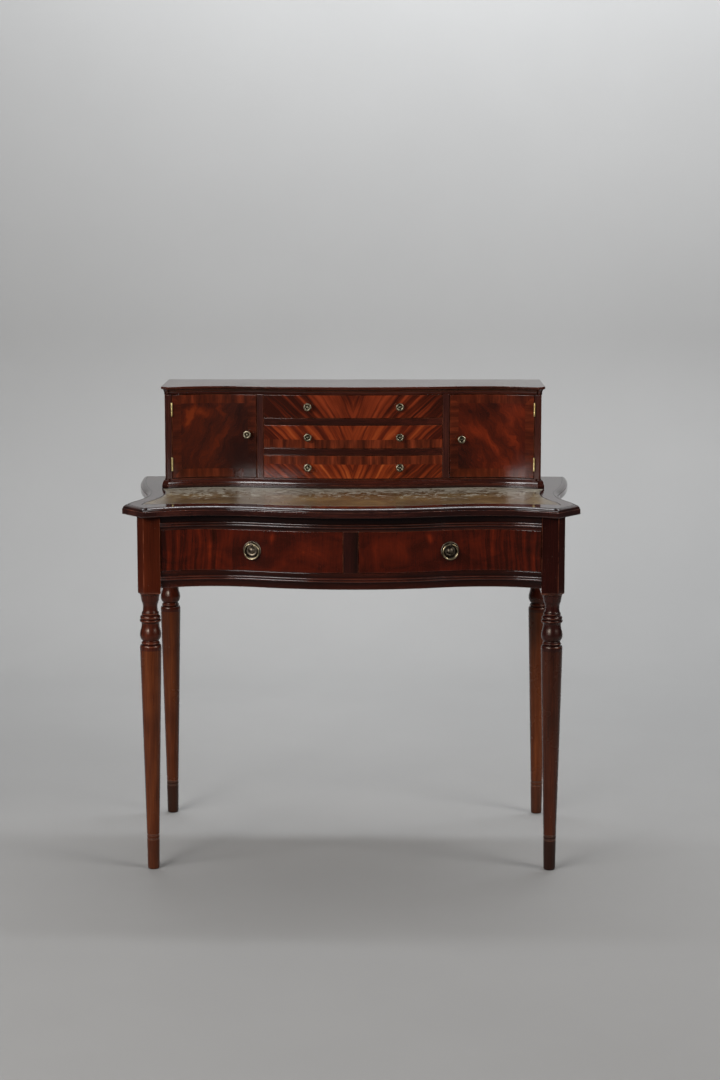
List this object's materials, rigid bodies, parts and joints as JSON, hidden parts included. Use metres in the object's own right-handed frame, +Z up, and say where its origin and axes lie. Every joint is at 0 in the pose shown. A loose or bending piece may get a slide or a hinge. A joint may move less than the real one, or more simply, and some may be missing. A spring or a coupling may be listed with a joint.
{
  "type": "writing desk",
  "caption": "Serpentine writing desk with a leather top, drawers with ring pulls, turned tapered legs and a gallery of small drawers between cupboards.",
  "frame": {"origin": "on the floor, under the middle of the top's plan box", "axes": "+Z up, the front with the drawers faces -Y, +X to the right of someone who faces the desk"},
  "size_m": [0.915, 0.525, 0.948],
  "materials": {
    "mahogany": "dark red-brown mahogany, french polished to a high gloss, worn paler at the arrises",
    "flame_veneer": "orange-brown flame figured mahogany veneer, high gloss",
    "lining_wood": "pale secondary wood, unpolished",
    "leather": "olive-brown hide, glazed, with worn pale streaks and a tooled border line",
    "brass": "bright brass, lightly tarnished",
    "dull_brass": "antique brass, darkened in the hollows"
  },
  "bodies": {
    "root": {"desk_top": "mahogany", "leather_inset": "leather", "leg_front_left": "mahogany", "leg_front_right": "mahogany", "leg_rear_left": "mahogany", "leg_rear_right": "mahogany", "top_rail_front": "mahogany", "bottom_rail_front": "mahogany", "side_rail_left": "mahogany", "side_rail_right": "mahogany", "back_rail": "mahogany", "centre_stile": "mahogany", "centre_runner": "lining_wood", "side_runner_left": "lining_wood", "side_runner_right": "lining_wood", "centre_kicker": "lining_wood", "gallery_base": "mahogany", "gallery_cornice": "mahogany", "gallery_side_left": "mahogany", "gallery_side_right": "mahogany", "gallery_divider_left": "mahogany", "gallery_divider_right": "mahogany", "gallery_back": "lining_wood", "gallery_rail_lower": "mahogany", "gallery_rail_upper": "mahogany", "case_leaf_left_lower": "brass", "case_leaf_left_upper": "brass", "case_leaf_right_lower": "brass", "case_leaf_right_upper": "brass"},
    "drawer_left": {"drawer_front_left": "flame_veneer", "drawer_box_left": "lining_wood", "drawer_bottom_left": "lining_wood", "pull_plate_left": "dull_brass"},
    "ring_left": {"pull_ring_left": "brass"},
    "drawer_right": {"drawer_front_right": "flame_veneer", "drawer_box_right": "lining_wood", "drawer_bottom_right": "lining_wood", "pull_plate_right": "dull_brass"},
    "ring_right": {"pull_ring_right": "brass"},
    "small_drawer_bottom": {"small_drawer_front_bottom": "flame_veneer", "small_drawer_box_bottom": "lining_wood", "small_drawer_knob_bottom_left": "dull_brass", "small_drawer_knob_bottom_right": "dull_brass"},
    "small_drawer_middle": {"small_drawer_front_middle": "flame_veneer", "small_drawer_box_middle": "lining_wood", "small_drawer_knob_middle_left": "dull_brass", "small_drawer_knob_middle_right": "dull_brass"},
    "small_drawer_top": {"small_drawer_front_top": "flame_veneer", "small_drawer_box_top": "lining_wood", "small_drawer_knob_top_left": "dull_brass", "small_drawer_knob_top_right": "dull_brass"},
    "door_left": {"door_left": "flame_veneer", "door_knob_left": "dull_brass", "door_leaf_left_lower": "brass", "door_leaf_left_upper": "brass"},
    "door_right": {"door_right": "flame_veneer", "door_knob_right": "dull_brass", "door_leaf_right_lower": "brass", "door_leaf_right_upper": "brass"}
  },
  "joints": [
    {"name": "drawer_left_slide", "type": "slide", "parent": "root", "child": "drawer_left", "axis": [0, -1, 0], "range_m": [0, 0.28]},
    {"name": "ring_left_hinge", "type": "hinge", "parent": "drawer_left", "child": "ring_left", "pos_m": [-0.19631, -0.21286, 0.66045], "axis": [-0.969, 0.2473, 0], "range_deg": [0, 95]},
    {"name": "drawer_right_slide", "type": "slide", "parent": "root", "child": "drawer_right", "axis": [0, -1, 0], "range_m": [0, 0.28]},
    {"name": "ring_right_hinge", "type": "hinge", "parent": "drawer_right", "child": "ring_right", "pos_m": [0.19631, -0.21286, 0.66045], "axis": [-0.969, -0.2473, 0], "range_deg": [0, 95]},
    {"name": "small_drawer_bottom_slide", "type": "slide", "parent": "root", "child": "small_drawer_bottom", "axis": [0, -1, 0], "range_m": [0, 0.11]},
    {"name": "small_drawer_middle_slide", "type": "slide", "parent": "root", "child": "small_drawer_middle", "axis": [0, -1, 0], "range_m": [0, 0.11]},
    {"name": "small_drawer_top_slide", "type": "slide", "parent": "root", "child": "small_drawer_top", "axis": [0, -1, 0], "range_m": [0, 0.11]},
    {"name": "door_left_hinge", "type": "hinge", "parent": "root", "child": "door_left", "pos_m": [-0.3754, 0.06193, 0.84365], "axis": [0, 0, -1], "range_deg": [0, 100]},
    {"name": "door_right_hinge", "type": "hinge", "parent": "root", "child": "door_right", "pos_m": [0.3754, 0.06193, 0.84365], "axis": [0, 0, 1], "range_deg": [0, 100]}
  ]
}
